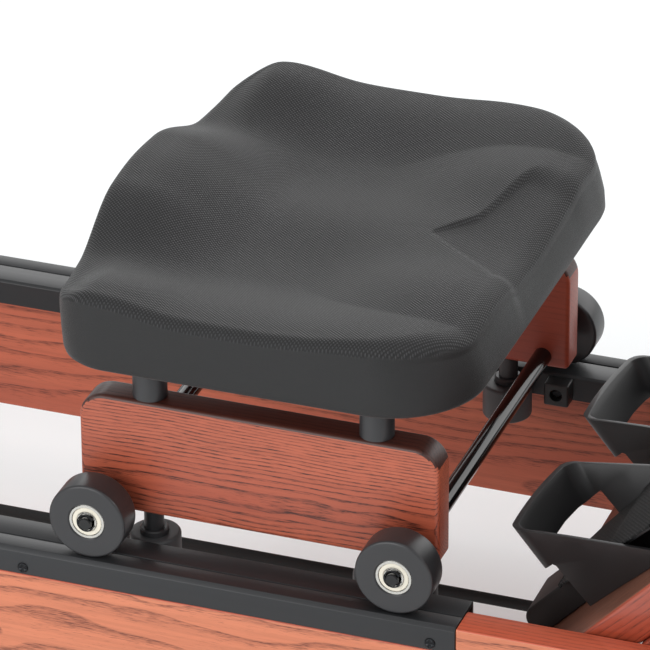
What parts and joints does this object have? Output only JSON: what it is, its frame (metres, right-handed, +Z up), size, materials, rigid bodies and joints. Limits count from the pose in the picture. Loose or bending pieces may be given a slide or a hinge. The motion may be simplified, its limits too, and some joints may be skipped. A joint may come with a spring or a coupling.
{
  "type": "rowing machine",
  "caption": "Water-resistance rowing machine with wooden rails, a rolling seat carriage, heel cups on a sloping footboard, a water tank with paddle, a pull handle and a tilting monitor.",
  "frame": {"origin": "on the floor, under the middle of the machine's overall box", "axes": "+X runs forward along the rails from the rear foot to the tank, +Y to the rower's left when facing the tank, +Z up"},
  "size_m": [2.06, 0.53, 0.598],
  "materials": {
    "wood": "stained oak with a satin lacquer",
    "track_aluminium": "black anodised, satin",
    "black_steel": "gloss black",
    "black_plastic": "fine moulded grain",
    "grey_plastic": "satin moulded",
    "tyre": "hard matt polyurethane",
    "seat_foam": "moulded foam skin with a fine mesh emboss",
    "rubber": "matt",
    "grip_rubber": "ribbed soft grip",
    "webbing": "ribbed woven nylon",
    "cord": "braided sheath",
    "clear_shell": "clear polycarbonate",
    "water": "clear water",
    "monitor_case": "satin case with a dark display window"
  },
  "bodies": {
    "frame": {"left_rail": "wood", "right_rail": "wood", "rear_foot": "wood", "front_foot": "wood", "footboard": "wood", "footboard_crossbar": "wood", "base_deck": "wood", "top_deck": "wood", "rear_upright": "wood", "front_upright": "wood", "left_track_cap": "track_aluminium", "left_slide_bar": "black_plastic", "left_foot_strap": "webbing", "front_left_stop": "black_plastic", "front_left_foot_pad": "rubber", "rear_left_stop": "black_plastic", "rear_left_foot_pad": "rubber", "right_track_cap": "track_aluminium", "right_slide_bar": "black_plastic", "right_foot_strap": "webbing", "front_right_stop": "black_plastic", "front_right_foot_pad": "rubber", "rear_right_stop": "black_plastic", "rear_right_foot_pad": "rubber", "return_cord": "cord", "tank_lower_shell": "clear_shell", "tank_upper_shell": "clear_shell", "tank_gasket": "rubber", "tank_water": "water", "shaft_bearing": "black_plastic", "pull_strap": "webbing", "handle_rest": "black_plastic", "monitor_bracket": "black_plastic"},
    "carriage": {"left_side_plate": "wood", "right_side_plate": "wood", "seat_base": "wood", "seat_cushion": "seat_foam", "front_axle": "black_steel", "rear_axle": "black_steel", "front_left_post": "black_plastic", "front_right_post": "black_plastic", "rear_left_post": "black_plastic", "rear_right_post": "black_plastic"},
    "front_left_wheel": {"front_left_wheel": "tyre"},
    "front_left_roller": {"front_left_guide_roller": "grey_plastic"},
    "front_right_wheel": {"front_right_wheel": "tyre"},
    "front_right_roller": {"front_right_guide_roller": "grey_plastic"},
    "rear_left_wheel": {"rear_left_wheel": "tyre"},
    "rear_left_roller": {"rear_left_guide_roller": "grey_plastic"},
    "rear_right_wheel": {"rear_right_wheel": "tyre"},
    "rear_right_roller": {"rear_right_guide_roller": "grey_plastic"},
    "rotor": {"paddle": "grey_plastic", "paddle_shaft": "black_steel", "drive_spool": "black_plastic"},
    "pulley": {"guide_pulley": "grey_plastic"},
    "handle": {"handle": "grip_rubber"},
    "left_cup": {"left_heel_cup": "black_plastic"},
    "right_cup": {"right_heel_cup": "black_plastic"},
    "monitor": {"monitor": "monitor_case"},
    "button": {"monitor_button": "grey_plastic"}
  },
  "joints": [
    {"name": "seat_slide", "type": "slide", "parent": "frame", "child": "carriage", "axis": [1, 0, 0], "range_m": [-0.85, 0.006]},
    {"name": "front_left_wheel_spin", "type": "hinge", "parent": "carriage", "child": "front_left_wheel", "pos_m": [0.0655, 0.1579, 0.17975], "axis": [0, 1, 0], "continuous": true},
    {"name": "front_left_roller_spin", "type": "hinge", "parent": "carriage", "child": "front_left_roller", "pos_m": [0.0406, 0.1211, 0.1422], "axis": [0, 0, 1], "continuous": true},
    {"name": "front_right_wheel_spin", "type": "hinge", "parent": "carriage", "child": "front_right_wheel", "pos_m": [0.0655, -0.1579, 0.17975], "axis": [0, 1, 0], "continuous": true},
    {"name": "front_right_roller_spin", "type": "hinge", "parent": "carriage", "child": "front_right_roller", "pos_m": [0.0406, -0.1211, 0.1422], "axis": [0, 0, 1], "continuous": true},
    {"name": "rear_left_wheel_spin", "type": "hinge", "parent": "carriage", "child": "rear_left_wheel", "pos_m": [-0.1255, 0.1579, 0.17975], "axis": [0, 1, 0], "continuous": true},
    {"name": "rear_left_roller_spin", "type": "hinge", "parent": "carriage", "child": "rear_left_roller", "pos_m": [-0.1006, 0.1211, 0.1422], "axis": [0, 0, 1], "continuous": true},
    {"name": "rear_right_wheel_spin", "type": "hinge", "parent": "carriage", "child": "rear_right_wheel", "pos_m": [-0.1255, -0.1579, 0.17975], "axis": [0, 1, 0], "continuous": true},
    {"name": "rear_right_roller_spin", "type": "hinge", "parent": "carriage", "child": "rear_right_roller", "pos_m": [-0.1006, -0.1211, 0.1422], "axis": [0, 0, 1], "continuous": true},
    {"name": "handle_pull", "type": "slide", "parent": "frame", "child": "handle", "axis": [-1, 0, 0], "range_m": [0, 1.2], "stiffness_N_per_m": 20, "springref_m": -0.5},
    {"name": "paddle_spin", "type": "hinge", "parent": "frame", "child": "rotor", "pos_m": [0.745, 0, 0.3], "axis": [0, 0, 1], "continuous": true},
    {"name": "pulley_spin", "type": "hinge", "parent": "frame", "child": "pulley", "pos_m": [0.43, 0.01905, 0.361], "axis": [0, 0, 1], "continuous": true},
    {"name": "left_cup_slide", "type": "slide", "parent": "frame", "child": "left_cup", "axis": [0.6884, 0, 0.7254], "range_m": [-0.035, 0.05]},
    {"name": "right_cup_slide", "type": "slide", "parent": "frame", "child": "right_cup", "axis": [0.6884, 0, 0.7254], "range_m": [-0.035, 0.05]},
    {"name": "monitor_tilt", "type": "hinge", "parent": "frame", "child": "monitor", "pos_m": [0.52, 0, 0.488], "axis": [0, 1, 0], "range_deg": [-15, 40]},
    {"name": "button_press", "type": "slide", "parent": "monitor", "child": "button", "axis": [1, 0, 0], "range_m": [0, 0.0015], "stiffness_N_per_m": 300}
  ],
  "couplings": [
    {"joint": "front_left_wheel_spin", "follows": "seat_slide", "rad_per_m": 41.667},
    {"joint": "front_left_roller_spin", "follows": "seat_slide", "rad_per_m": 64.516},
    {"joint": "front_right_wheel_spin", "follows": "seat_slide", "rad_per_m": 41.667},
    {"joint": "front_right_roller_spin", "follows": "seat_slide", "rad_per_m": -64.516},
    {"joint": "rear_left_wheel_spin", "follows": "seat_slide", "rad_per_m": 41.667},
    {"joint": "rear_left_roller_spin", "follows": "seat_slide", "rad_per_m": 64.516},
    {"joint": "rear_right_wheel_spin", "follows": "seat_slide", "rad_per_m": 41.667},
    {"joint": "rear_right_roller_spin", "follows": "seat_slide", "rad_per_m": -64.516},
    {"joint": "paddle_spin", "follows": "handle_pull", "rad_per_m": 27.778},
    {"joint": "pulley_spin", "follows": "handle_pull", "rad_per_m": -55.556}
  ]
}
